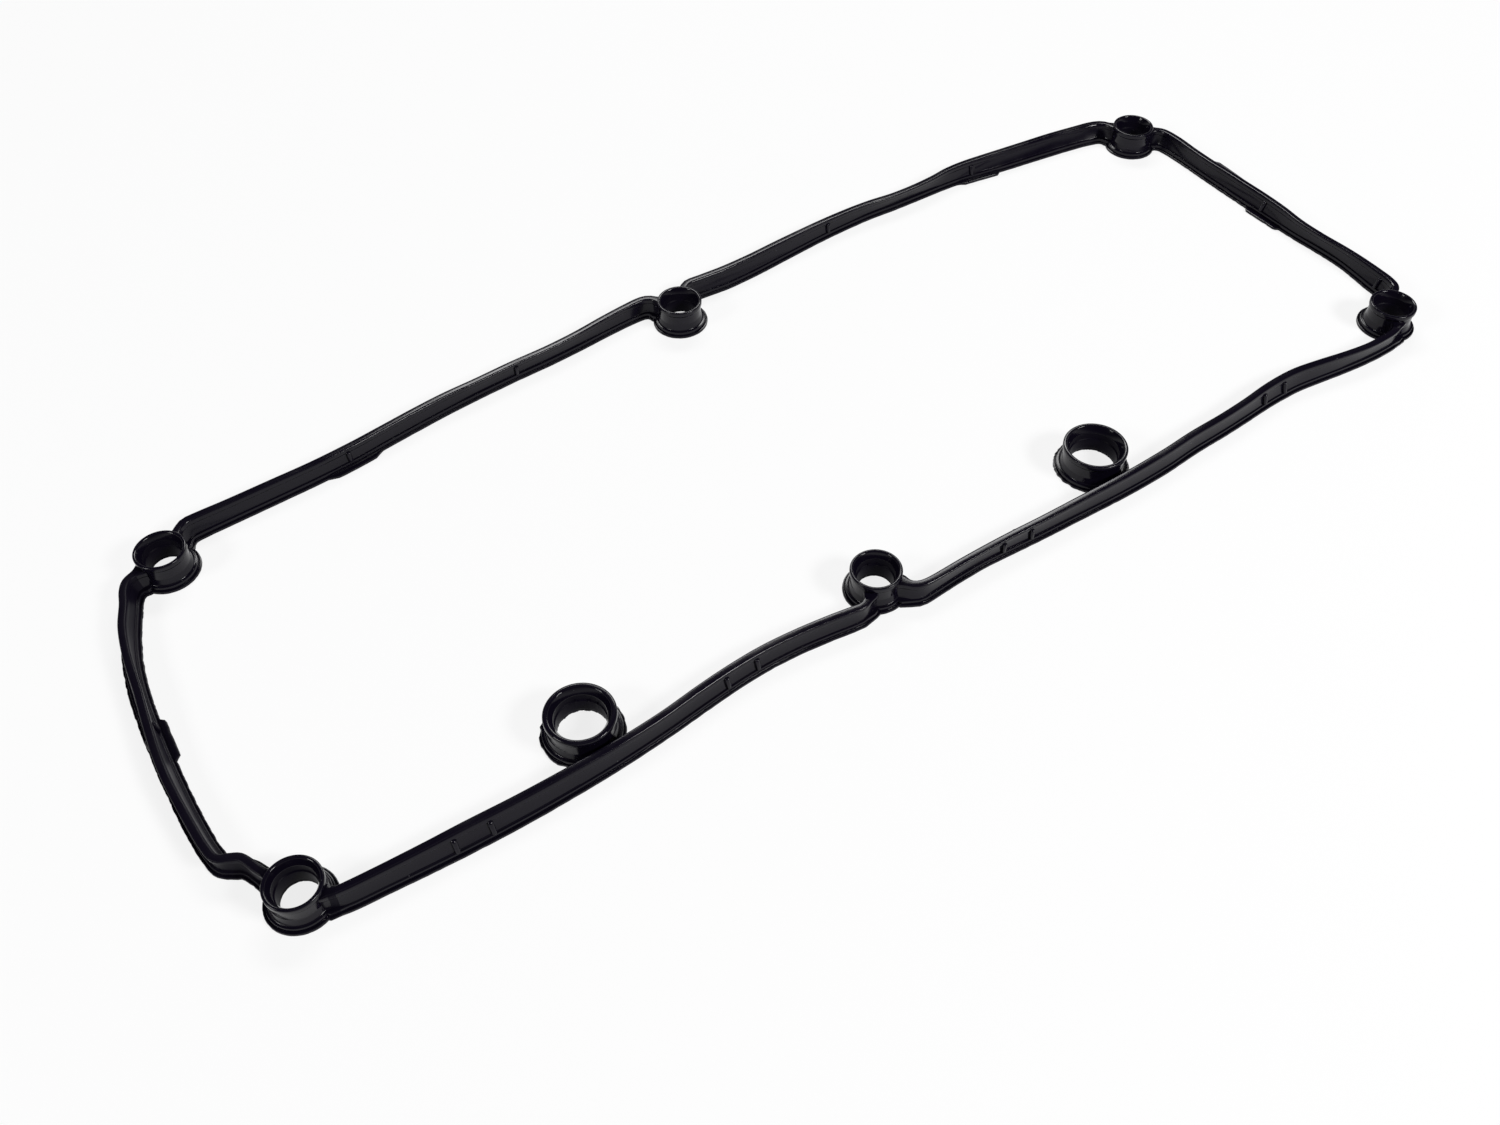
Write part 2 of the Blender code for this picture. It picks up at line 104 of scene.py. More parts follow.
# The strip from collar to collar, in mm: the middle of the foot along the way, and how far the
# relaxed crest leans outwards there
SPANS = {
    "near_left": (
        "left_near",
        "middle_near",
        (
            (-203.2, -68.6, 0.0),
            (-200.6, -70.8, -0.4),
            (-197.0, -71.8, -0.9),
            (-188.0, -72.4, -1.0),
            (-176.0, -73.2, -1.4),
            (-164.0, -73.8, -1.8),
            (-150.0, -74.1, -1.6),
            (-136.0, -73.9, -1.3),
            (-120.0, -73.2, -0.8),
            (-104.0, -71.8, -0.5),
            (-90.0, -70.1, -0.7),
            (-78.0, -68.8, -0.6),
            (-67.0, -68.3, -0.5),
            (-56.0, -68.7, -0.3),
            (-46.0, -69.8, -0.3),
            (-38.0, -70.9, -0.2),
            (-34.4, -71.0, 0.2),
            (-31.4, -69.6, 0.4),
        ),
    ),
    "near_right": (
        "middle_near",
        "right_near",
        (
            (-19.2, -70.2, -0.4),
            (-18.0, -72.8, -0.6),
            (-15.4, -74.2, -0.3),
            (-11.0, -74.1, 0.4),
            (0.0, -73.4, 0.8),
            (10.0, -73.2, 0.9),
            (20.0, -73.7, 0.5),
            (32.0, -74.3, 0.3),
            (44.0, -74.7, 0.1),
            (66.0, -75.4, -0.3),
            (84.0, -75.1, -0.5),
            (98.0, -74.0, -0.4),
            (112.0, -73.5, -0.3),
            (124.0, -72.8, -0.4),
            (134.0, -72.1, -0.8),
            (142.0, -71.9, -1.0),
            (150.0, -72.1, -0.9),
            (160.0, -73.3, -0.4),
            (170.0, -74.6, 0.3),
            (180.0, -75.6, 0.8),
            (188.0, -75.9, 0.7),
            (194.2, -75.6, 0.5),
            (198.4, -73.9, 0.3),
        ),
    ),
    "right": (
        "right_near",
        "right_far",
        (
            (209.2, -62.4, 0.2),
            (212.8, -59.6, 1.1),
            (214.4, -56.0, 1.2),
            (215.2, -50.0, 1.0),
            (216.4, -42.0, 0.1),
            (217.2, -34.0, -0.9),
            (216.9, -24.0, -1.3),
            (216.3, -14.0, -0.7),
            (216.2, -4.0, 0.6),
            (216.2, 6.0, 1.1),
            (216.3, 16.0, 1.0),
            (216.5, 26.0, 0.8),
            (216.7, 34.0, 0.4),
            (217.0, 44.0, 0.4),
            (217.0, 53.0, 1.0),
            (216.2, 60.4, 1.2),
            (213.4, 63.9, 0.8),
        ),
    ),
    "far_right": (
        "right_far",
        "middle_far",
        (
            (201.4, 76.2, 1.0),
            (199.2, 78.4, 1.8),
            (195.0, 79.9, 2.1),
            (188.0, 81.4, 1.8),
            (176.0, 83.1, 2.0),
            (164.0, 84.6, 1.8),
            (152.0, 86.1, 1.6),
            (142.0, 87.6, 1.2),
            (134.0, 88.8, 0.7),
            (126.0, 89.4, 0.0),
            (118.0, 89.6, -1.3),
            (108.0, 89.7, -2.0),
            (98.0, 89.9, -2.0),
            (88.0, 90.4, -1.3),
            (78.0, 90.3, -0.7),
            (66.0, 89.7, -0.2),
            (54.0, 88.6, 0.3),
            (42.0, 87.3, 0.8),
            (30.0, 86.1, 1.0),
            (18.0, 85.5, 1.2),
            (8.0, 86.1, 1.0),
            (2.8, 86.3, 1.0),
            (-0.2, 84.6, 0.8),
        ),
    ),
    "far_left": (
        "middle_far",
        "left_far",
        (
            (-11.4, 83.6, 0.2),
            (-13.6, 86.4, 0.6),
            (-17.0, 87.8, 0.5),
            (-24.0, 87.8, 0.0),
            (-34.0, 87.0, -0.5),
            (-46.0, 85.7, -1.1),
            (-58.0, 84.8, -1.3),
            (-72.0, 84.2, -1.1),
            (-86.0, 83.3, -1.1),
            (-98.0, 82.2, -0.5),
            (-110.0, 80.7, -0.3),
            (-122.0, 79.0, -0.3),
            (-134.0, 77.1, 0.0),
            (-148.0, 75.8, 0.1),
            (-162.0, 75.1, 0.4),
            (-176.0, 74.5, 0.6),
            (-186.0, 74.0, 1.1),
            (-190.4, 73.5, 1.2),
            (-193.6, 71.6, 0.4),
        ),
    ),
    "left": (
        "left_far",
        "left_near",
        (
            (-208.6, 61.9, 0.5),
            (-212.0, 60.1, 1.0),
            (-214.0, 56.9, 1.0),
            (-215.8, 52.0, 0.6),
            (-218.6, 44.0, 0.6),
            (-220.9, 35.0, 0.0),
            (-222.3, 27.0, -0.6),
            (-223.2, 18.0, -0.8),
            (-223.7, 8.0, -0.2),
            (-224.0, -4.0, 0.6),
            (-224.0, -14.0, 0.9),
            (-223.8, -24.0, 0.7),
            (-223.3, -33.0, 0.6),
            (-222.6, -39.5, 0.7),
            (-221.4, -44.3, 0.8),
            (-219.0, -46.4, 0.1),
            (-216.6, -48.0, 0.0),
            (-215.0, -50.4, 0.2),
            (-213.6, -53.8, 0.3),
        ),
    ),
}

# Ribs on the stem: span, axis along which they are placed, places, and side (1 outside, -1 inside)
RIBS = (
    ("near_left", 0, (-168.5, -158.0, -81.5, -71.0), 1),
    ("near_left", 0, (-163.0, -76.0), -1),
    ("near_right", 0, (16.7, 27.6, 133.0, 143.0), 1),
    ("near_right", 0, (22.5, 138.0), -1),
    ("right", 1, (-53.0, 4.0), -1),
    ("far_right", 0, (137.4, 67.1), -1),
    ("far_left", 0, (-70.4, -135.7), -1),
    ("left", 1, (6.0,), -1),
    ("left", 1, (1.0,), 1),
)
# Wider stretches: span, axis, start, end, side, reach at the start and at the end, and the levels
# between which they stand out
TABS = (
    ("far_left", 0, -144.2, -125.8, -1, 1.4, 1.4, 0.0, 0.95),
    ("far_right", 0, 130.9, 149.9, -1, 1.4, 1.4, 0.0, 0.95),
    ("left", 1, -5.6, 10.9, -1, 1.4, 1.4, 0.0, 0.95),
    ("right", 1, -7.3, 9.9, -1, 1.4, 1.4, 0.0, 0.95),
    ("right", 1, 13.3, 33.8, 1, 0.2, 1.5, 4.8, 6.7),
)
# The length of a wider stretch's soft ends, in mm
TAB_EASE = 1.6

# Small nubs on the step inside a collar: the collar and their directions in degrees from +X towards
# +Y, then their level, their radius and how far outside the throat they sit, in mm
NUBS = {
    "left_ring": (73.0, 44.0, 24.0),
    "middle_near": (75.0, 48.0),
}
NUB_HEIGHT = 5.15
NUB_RADIUS = 0.42
NUB_INSET = 0.3

# A rib: bottom and top, faces round it, how round its ends are, how far its middle stands off the
# stem's face, and how finely its place is sought along the strip, in mm
RIB_LOW = 1.8
RIB_HIGH = 5.95
RIB_SIDES = 14
RIB_ROUNDING = 0.8
RIB_STANDOFF = 0.3
RIB_ROUTE_STEP = 0.4

# How deep the trimmed edge of the foot is torn, in mm, where it isn't nearly smooth
TORN_SPANS = {
    "left": 0.42,
    "right": 0.3,
}
SMOOTH_TEAR = 0.16
RING_TEAR = 0.75
# The two waves of the tear: waves per mm and the noise's layer, and what their sum is divided by
LONG_TEAR = (0.45, 3.1)
SHORT_TEAR = (1.5, 7.7)
TEAR_SPREAD = 1.4
# The flange's torn rim: its width and its top, in mm
TORN_WIDTH = 0.4
TORN_TOP = 1.0

# Thin lip of flash round the bottom of a hole: how far it reaches in and how ragged it is, then which
# part of the wall goes with it, by distance from the throat and by level, in mm
COLLAR_LIP = (0.45, 0.16)
RING_LIP = (0.12, 0.45)
LIP_WIDTH = 0.6
LIP_TOP = 0.6

# How much wider a ring's funnel is at the rim than a collar's, in mm
RING_FUNNEL_EXTRA = 0.25

# The stem: half its width above the ledge and below the crest, and where it ends, in mm
STEM_WIDE = 1.42
STEM_SLIM = 1.04
STEM_TOP = 5.3
# Half of the strip's section from the underside to the crest: offset, height, corner radius, in mm
STRIP_HALF = (
    (3.1, 0.0, 0.1),
    (3.1, 0.9, 0.28),
    (2.5, 0.9, 0.08),
    (2.42, 0.72, 0.05),
    (2.24, 0.72, 0.05),
    (2.16, 2.0, 0.3),
    (STEM_WIDE, 2.0, 0.3),
    (STEM_SLIM, STEM_TOP, 0.35),
    (1.34, 5.72, 0.22),
    (1.26, 7.2, 1.15),
    (0.0, 7.2, 0.0),
)
LEDGE_TOP = 2.05
STRIP_TOP = 7.2
# Offsets from the section's middle, in mm: it flares into a collar beyond the first, and is the
# foot's edge beyond the second
FLARED_FROM = 0.9
FOOT_EDGE_FROM = 2.7

# Outside of a collar from the flange to the rim: distance from the flange's or the rim's radius
FLANGE_OUTLINE = (
    (0.0, 0.0, 0.1),
    (0.0, 0.9, 0.28),
    (-0.6, 0.9, 0.08),
    (-0.68, 0.72, 0.05),
    (-0.86, 0.72, 0.05),
    (-0.94, 2.0, 0.3),
)
RIM_OUTLINE = (
    (0.12, 2.0, 0.5),
    (-0.42, 4.2, 1.6),
    (-0.45, 7.6, 0.6),
    (0.0, 8.3, 0.4),
    (0.0, 9.8, 0.85),
)
# Inside of a collar from the rim down, as distance from the throat's radius
MOUTH_OUTLINE = (
    (1.45, 9.8, 0.65),
    (0.4, 7.6, 0.6),
    (0.35, 5.3, 0.15),
    (0.0, 5.0, 0.13),
    (0.0, 1.4, 0.4),
    (0.4, 0.0, 0.1),
)
# Radii of the walls that the strip flares into, how far off the flare starts and how wide it gets,
# and how far from a collar's centre the strip ends, in mm
COLLAR_WALL = 7.55
RING_WALL = 9.95
FLARE_REACH = 3.4
FLARE_WIDTH = 1.3
STRIP_END = 6.6

# Rounded corners: the largest share of a side that a corner takes, and the radii in mm below which
# an arc has one part or two parts, instead of four
CORNER_SHARE = 0.48
ONE_PART_BELOW = 0.12
TWO_PARTS_BELOW = 0.35
# Parts of the fine curve between two points of the route
SPLINE_PARTS = 24

# Distances in metres within which points are merged after a spin and after the join, and below which
# a sliver is dissolved
SPIN_MERGE = 2e-6
JOIN_MERGE = 5e-6
SLIVER = 2e-6
# Edges up to this angle, in degrees, are shaded smooth
SMOOTH_ANGLE = 38

# The moulding's finishes, in the order of its material slots: name, roughness and refractive index
# as the panel has them, and bump
FINISHES = (
    ("moulded_rubber", "wall_roughness", "refraction", 0.12),
    ("moulded_rubber_mouth", "mouth_roughness", "refraction", 0.06),
    ("moulded_rubber_bore", "bore_roughness", "bore_refraction", 0.2),
    ("moulded_rubber_dull", "dull_roughness", "dull_refraction", 0.2),
)
MOUTH, BORE, DULL = 1, 2, 3
# The mouth's lowest level, and how far beyond the throat a hole's finish reaches, in mm
MOUTH_BOTTOM = 7.3
HOLE_MARGIN = 1.7

# Patches of gloss: noise per metre, the noise they run between and how they change the roughness
PATCH_SCALE = 90.0
PATCH_RANGE = (0.3, 0.7)
PATCH_GLOSS = (-0.06, 0.08)
# Dust: cells per metre, the edge of a speck, how few cells have one, and its colour
DUST_SCALE = 420.0
DUST_EDGE = (0.07, 0.03)
DUST_RARITY = 0.86
DUST_COLOUR = (0.12, 0.12, 0.13, 1.0)
# The mould's grain and its long waves: noise per metre, share of the bump, and height in metres
GRAIN = (2600.0, 0.4, 0.00004)
WAVES = (160.0, 0.7, 0.0003)

# The table's size and level in metres, and the sines of the heights between which the room's white
# horizon fades
FLOOR_SIZE = 24.0
FLOOR_LEVEL = -0.00005
HORIZON_WHITE = 0.13
HORIZON_DARK = 0.26

# Lamps: name, power as the panel has it, azimuth from +X towards +Y and elevation in degrees, and
# distance and size in metres
LAMPS = (
    ("front_window", "front_power", -64.0, 37.0, 1.3, (0.36, 0.24)),
    ("left_window", "left_power", 177.0, 33.0, 1.3, (0.3, 0.26)),
    ("back_window", "back_power", 57.0, 45.0, 1.48, (0.93, 0.3)),
    ("overhead", "overhead_power", -123.0, 76.0, 1.5, (1.0, 1.0)),
)

# The camera: place in metres, turn in degrees, sensor width in mm, and nearest and farthest view in
# metres
CAMERA_PLACE = (-0.1938, -0.2709, 0.3209)
CAMERA_TURN = (40.4, 0.657, -33.46)
SENSOR_WIDTH = 36.0
VIEW_RANGE = (0.01, 20.0)


class GasketSizes(bpy.types.PropertyGroup):
    """Sizes and fineness of the moulding."""

    step: bpy.props.FloatProperty(
        name="Section spacing",
        description="Distance between the sections along the strip, in mm",
        default=1.7,
        min=0.8,
        max=6.0,
    )
    collar_sides: bpy.props.IntProperty(
        name="Collar sides",
        description="Faces round a bolt collar",
        default=88,
        min=24,
        max=160,
    )
    ring_sides: bpy.props.IntProperty(
        name="Ring sides",
        description="Faces round a larger ring",
        default=108,
        min=24,
        max=200,
    )
    collar_flange: bpy.props.FloatProperty(
        name="Collar flange radius",
        description="Radius of a bolt collar's flange, in mm",
        default=9.9,
    )
    collar_rim: bpy.props.FloatProperty(
        name="Collar rim radius",
        description="Radius of a bolt collar's rolled rim, in mm",
        default=8.0,
    )
    collar_throat: bpy.props.FloatProperty(
        name="Collar throat radius",
        description="Radius of a bolt collar's narrowest part, in mm",
        default=5.55,
    )
    ring_flange: bpy.props.FloatProperty(
        name="Ring flange radius",
        description="Radius of a larger ring's flange, in mm",
        default=12.4,
    )
    ring_rim: bpy.props.FloatProperty(
        name="Ring rim radius",
        description="Radius of a larger ring's rolled rim, in mm",
        default=10.4,
    )
    left_throat: bpy.props.FloatProperty(
        name="Left ring throat radius",
        description="Radius of the left ring's narrowest part, in mm",
        default=7.2,
    )
    right_throat: bpy.props.FloatProperty(
        name="Right ring throat radius",
        description="Radius of the right ring's narrowest part, in mm",
        default=7.55,
    )
    rib_radius: bpy.props.FloatProperty(
        name="Rib radius",
        description="Radius of the small upright ribs, in mm",
        default=0.85,
    )


class RubberLook(bpy.types.PropertyGroup):
    """Colour and gloss of the moulded rubber."""

    colour: bpy.props.FloatVectorProperty(
        name="Rubber colour",
        description="Base colour of the rubber",
        default=(0.004, 0.003, 0.0075),
        size=3,
        subtype="COLOR",
        min=0.0,
        max=1.0,
    )
    wall_roughness: bpy.props.FloatProperty(
        name="Wall roughness",
        description="Roughness of the glossy outside",
        default=0.16,
        subtype="FACTOR",
        min=0.0,
        max=1.0,
    )
    refraction: bpy.props.FloatProperty(
        name="Refractive index",
        description="Refractive index of the rubber's waxy skin, which sets how much it mirrors",
        default=1.3,
        min=1.0,
        max=2.0,
    )
    mouth_roughness: bpy.props.FloatProperty(
        name="Mouth roughness",
        description="Roughness inside the collars, where the mould's pins are polished",
        default=0.1,
        subtype="FACTOR",
        min=0.0,
        max=1.0,
    )
    dull_roughness: bpy.props.FloatProperty(
        name="Dull end roughness",
        description="Roughness of the strip at the left end, which is duller than the rest",
        default=0.34,
        subtype="FACTOR",
        min=0.0,
        max=1.0,
    )
    dull_refraction: bpy.props.FloatProperty(
        name="Dull end refractive index",
        description="Refractive index of the duller strip at the left end",
        default=1.16,
        min=1.0,
        max=2.0,
    )
    bore_roughness: bpy.props.FloatProperty(
        name="Bore roughness",
        description="Roughness of the duller skin low down in the holes",
        default=0.42,
        subtype="FACTOR",
        min=0.0,
        max=1.0,
    )
    bore_refraction: bpy.props.FloatProperty(
        name="Bore refractive index",
        description="Refractive index of the duller skin low down in the holes",
        default=1.11,
        min=1.0,
        max=2.0,
    )


class StudioLook(bpy.types.PropertyGroup):
    """Floor, lamps and camera."""

    floor_colour: bpy.props.FloatVectorProperty(
        name="Floor colour",
        description="Colour of the table",
        default=(0.9, 0.9, 0.903),
        size=3,
        subtype="COLOR",
        min=0.0,
        max=1.0,
    )
    floor_white: bpy.props.FloatProperty(
        name="Floor whiteness",
        description="Share of plain white in the floor as it is seen and mirrored",
        default=0.82,
        subtype="FACTOR",
        min=0.0,
        max=1.0,
    )
    front_power: bpy.props.FloatProperty(
        name="Front window",
        description="Power of the window-like lamp on the near side, in watts",
        default=12.0,
    )
    left_power: bpy.props.FloatProperty(
        name="Left window",
        description="Power of the window-like lamp on the left, in watts",
        default=5.6,
    )
    back_power: bpy.props.FloatProperty(
        name="Back window",
        description="Power of the lamp behind, which draws the line on the crest, in watts",
        default=11.5,
    )
    overhead_power: bpy.props.FloatProperty(
        name="Overhead lamp",
        description="Power of the large soft lamp above and behind the camera, in watts",
        default=0.6,
    )
    room_strength: bpy.props.FloatProperty(
        name="Room light",
        description="Strength of the even light from the room",
        default=0.02,
    )
    focal_length: bpy.props.FloatProperty(
        name="Focal length",
        description="Camera focal length on a 36 mm sensor, in mm",
        default=32.68,
    )


def drawn_centre(name):
    """The centre of a collar or ring in the moulding's drawing, in mm."""
    if name in RINGS:
        return Vector(RINGS[name])
    span, offset = COLLARS[name]
    last_point = SPANS[span][-1][-1]
    return Vector(last_point[:2]) + Vector(offset)


def drawing_shift():
    """From the moulding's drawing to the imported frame, in mm, by the record's bolt holes."""
    total = Vector((0.0, 0.0))
    for opening in frame["record"]["physics"]["openings"]:
        name = opening["name"].removeprefix("bolt_hole_")
        if name in COLLARS:
            low, high = opening["box_m"]
            middle = Vector(((low[0] + high[0]) / 2, (low[1] + high[1]) / 2)) / MM
            total += middle - drawn_centre(name)
    return total / len(COLLARS)


SHIFT = drawing_shift()


def centre_of(name):
    return drawn_centre(name) + SHIFT


def filleted(corners, closed):
    """Points of an outline whose corners, (across, up, radius), are rounded by arcs."""
    points = []
    count = len(corners)
    for index, (across, up, radius) in enumerate(corners):
        corner = Vector((across, up))
        if radius == 0 or (not closed and index in (0, count - 1)):
            points.append(corner)
            continue
        before = Vector(corners[index - 1][:2]) - corner
        after = Vector(corners[(index + 1) % count][:2]) - corner
        half = before.angle(after) / 2
        room = min(before.length, after.length) * CORNER_SHARE
        cut = min(radius / math.tan(half), room)
        start = corner + before.normalized() * cut
        end = corner + after.normalized() * cut
        parts = 1 if radius < ONE_PART_BELOW else 2 if radius < TWO_PARTS_BELOW else 4
        for part in range(parts + 1):
            share = part / parts
            rest = 1 - share
            points.append(start * rest**2 + corner * 2 * share * rest + end * share**2)
    return points


def strip_outline():
    """The strip's whole section as points (offset, height), counter-clockwise from its right foot."""
    first = (0.0, 0.0, 0.0)
    half = filleted((first, *STRIP_HALF), closed=False)[1:]
    left = [Vector((-point.x, point.y)) for point in half[-2::-1]]
    return half + left


def spline_point(before, start, end, after, share):
    """A point between start and end on the Catmull-Rom curve through all four."""
    tangent_in = (end - before) / 2
    tangent_out = (after - start) / 2
    square = share * share
    cube = square * share
    return (
        start * (2 * cube - 3 * square + 1)
        + tangent_in * (cube - 2 * square + share)
        + end * (3 * square - 2 * cube)
        + tangent_out * (cube - square)
    )


def span_route(name, step):
    """Evenly spaced (place, outward direction, lean) along a span, from collar to collar."""
    first, last, middle = SPANS[name]
    points = [Vector((x + SHIFT.x, y + SHIFT.y, lean)) for x, y, lean in middle]
    for collar, at_end in ((first, False), (last, True)):
        nearest = points[-1] if at_end else points[0]
        centre = Vector((*centre_of(collar), nearest.z))
        away = nearest - centre
        end = centre + away * (STRIP_END / away.length)
        points.insert(len(points) if at_end else 0, end)
    dense = []
    for index in range(len(points) - 1):
        before = points[max(index - 1, 0)]
        after = points[min(index + 2, len(points) - 1)]
        for part in range(SPLINE_PARTS):
            share = part / SPLINE_PARTS
            dense.append(spline_point(before, points[index], points[index + 1], after, share))
    dense.append(points[-1])
    lengths = [0.0]
    for one, other in zip(dense, dense[1:]):
        lengths.append(lengths[-1] + (other.xy - one.xy).length)
    count = max(2, round(lengths[-1] / step))
    route = []
    place = 0
    for number in range(count + 1):
        target = lengths[-1] * number / count
        while place < len(dense) - 2 and lengths[place + 1] < target:
            place += 1
        gap = max(lengths[place + 1] - lengths[place], 1e-9)
        route.append(dense[place].lerp(dense[place + 1], (target - lengths[place]) / gap))
    result = []
    for index, point in enumerate(route):
        ahead = route[min(index + 1, count)].xy
        behind = route[max(index - 1, 0)].xy
        along = (ahead - behind).normalized()
        result.append((point.xy, Vector((along.y, -along.x)), point.z))
    return result


def lean_at(height, lean):
    """Sideways shift of the leaning strip at one height: none in the foot, all at the crest."""
    share = (height - LEDGE_TOP) / (STRIP_TOP - LEDGE_TOP)
    return lean * min(max(share, 0.0), 1.0)


def flare(spot, height, sizes):
    """How much wider the strip is where it runs into a collar, in mm."""
    most = 0.0
    for names, flange, wall in (
        (COLLARS, sizes.collar_flange, COLLAR_WALL),
        (RINGS, sizes.ring_flange, RING_WALL),
    ):
        radius = flange if height <= LEDGE_TOP else wall
        for name in names:
            gap = (spot - centre_of(name)).length - radius
            share = 1 - max(gap, 0.0) / FLARE_REACH
            most = max(most, FLARE_WIDTH * max(share, 0.0) ** 2)
    return most


def eased(value, start, end):
    """0 outside start and end, 1 inside, with soft ends."""
    low, high = min(start, end), max(start, end)
    share = min((value - low) / TAB_EASE, (high - value) / TAB_EASE)
    share = min(max(share, 0.0), 1.0)
    return share * share * (3 - 2 * share)


def tab_reach(span, spot, side, height):
    """How far a wider stretch stands out at this point of the strip, in mm."""
    reach = 0.0
    drawn = spot - SHIFT
    for name, axis, start, end, tab_side, at_start, at_end, low, high in TABS:
        if name != span or side != tab_side or not low <= height <= high:
            continue
        share = min(max((drawn[axis] - start) / (end - start), 0.0), 1.0)
        here = at_start + (at_end - at_start) * share
        reach = max(reach, here * eased(drawn[axis], start, end))
    return reach


def wave(spot, frequency, layer):
    """Smooth noise over the plan, from -1 to 1."""
    return noise.noise(Vector((spot.x * frequency, spot.y * frequency, layer)))


def torn_edge(spot, depth):
    """The unevenness of a trimmed edge, in mm: always inwards on the foot."""
    height = max(wave(spot, *LONG_TEAR), 0.0) + abs(wave(spot, *SHORT_TEAR))
    return -depth * height / TEAR_SPREAD


def throat_of(name, sizes):
    """The radius of a hole's narrowest part, in mm."""
    throats = {"left_ring": sizes.left_throat, "right_ring": sizes.right_throat}
    return throats.get(name, sizes.collar_throat)


def activate_none():
    bpy.ops.object.select_all(action="DESELECT")
    bpy.context.view_layer.objects.active = None


def activate(made):
    bpy.ops.object.select_all(action="DESELECT")
    made.select_set(True)
    bpy.context.view_layer.objects.active = made


def mesh_object(name, mesh):
    data = bpy.data.meshes.new(name)
    mesh.to_mesh(data)
    mesh.free()
    made = bpy.data.objects.new(name, data)
    bpy.context.scene.collection.objects.link(made)
    return made


def build_span(name, sizes, outline):
    """One stretch of strip as a closed solid."""
    mesh = bmesh.new()
    rings = []
    depth = TORN_SPANS.get(name, SMOOTH_TEAR)
    step = sizes.step / 2 if name in TORN_SPANS else sizes.step
    for middle, outward, lean in span_route(name, step):
        ring = []
        for point in outline:
            side = 1 if point.x > 0 else -1
            spot = middle + outward * point.x
            wider = 0.0
            if abs(point.x) > FLARED_FROM:
                wider = flare(spot, point.y, sizes)
            if abs(point.x) > FOOT_EDGE_FROM or point.y > LEDGE_TOP:
                wider += tab_reach(name, middle, side, point.y)
            if abs(point.x) > FOOT_EDGE_FROM:
                wider += torn_edge(spot, depth)
            spot += outward * (side * wider + lean_at(point.y, lean))
            ring.append(mesh.verts.new((spot.x * MM, spot.y * MM, point.y * MM)))
        rings.append(ring)
    count = len(outline)
    for ring, following in zip(rings, rings[1:]):
        for index in range(count):
            beside = (index + 1) % count
            mesh.faces.new((ring[index], ring[beside], following[beside], following[index]))
    mesh.faces.new(rings[0][::-1])
    mesh.faces.new(rings[-1])
    bmesh.ops.recalc_face_normals(mesh, faces=mesh.faces)
    return mesh_object("strip_" + name, mesh)


def collar_corners(flange, rim, throat, extra):
    """The collar's closed section: corners as (radius, height, corner radius)."""
    (across, up, radius), *lower = MOUTH_OUTLINE
    mouth = [(across + extra, up, radius), *lower]
    corners = [(flange + across, up, radius) for across, up, radius in FLANGE_OUTLINE]
    corners += [(rim + across, up, radius) for across, up, radius in RIM_OUTLINE]
    corners += [(throat + across, up, radius) for across, up, radius in mouth]
    return corners


def build_collar(name, flange, rim, throat, sides):
    """A collar, spun from its section round the hole's axis."""
    centre = centre_of(name).to_3d() * MM
    mesh = bmesh.new()
    loop = []
    extra = RING_FUNNEL_EXTRA if name in RINGS else 0.0
    for point in filleted(collar_corners(flange, rim, throat, extra), closed=True):
        loop.append(mesh.verts.new(centre + Vector((point.x, 0.0, point.y)) * MM))
    for one, other in zip(loop, loop[1:] + loop[:1]):
        mesh.edges.new((one, other))
    made = mesh_object(name, mesh)
    activate(made)
    bpy.ops.object.mode_set(mode="EDIT")
    bpy.ops.mesh.select_all(action="SELECT")
    bpy.ops.mesh.spin(
        steps=sides,
        angle=math.tau,
        center=centre,
        axis=(0.0, 0.0, 1.0),
    )
    bpy.ops.mesh.select_all(action="SELECT")
    bpy.ops.mesh.remove_doubles(threshold=SPIN_MERGE)
    bpy.ops.mesh.normals_make_consistent(inside=False)
    bpy.ops.object.mode_set(mode="OBJECT")
    tear = RING_TEAR if name in RINGS else SMOOTH_TEAR
    lip, lip_tear = RING_LIP if name in RINGS else COLLAR_LIP
    for vertex in made.data.vertices:
        arm = (vertex.co - centre).to_2d()
        if arm.length > (flange - TORN_WIDTH) * MM and vertex.co.z < TORN_TOP * MM:
            shorter = arm.normalized() * torn_edge(vertex.co / MM, tear) * MM
            vertex.co += shorter.to_3d()
        elif arm.length < (throat + LIP_WIDTH) * MM and vertex.co.z < LIP_TOP * MM:
            longer = arm.normalized() * (torn_edge(vertex.co / MM, lip_tear) - lip) * MM
            vertex.co += longer.to_3d()


def build_nub(name, number, angle, radius):
    """A small round nub on the step inside a collar."""
    turn = math.radians(angle)
    spot = centre_of(name) + radius * Vector((math.cos(turn), math.sin(turn)))
    activate_none()
    place = Vector((spot.x, spot.y, NUB_HEIGHT)) * MM
    bpy.ops.mesh.primitive_uv_sphere_add(
        segments=10,
        ring_count=6,
        radius=NUB_RADIUS * MM,
        location=place,
    )
    made = bpy.context.active_object
    made.name = f"rib_nub_{name}_{number}"
    bpy.ops.object.transform_apply(location=True, rotation=False, scale=False)


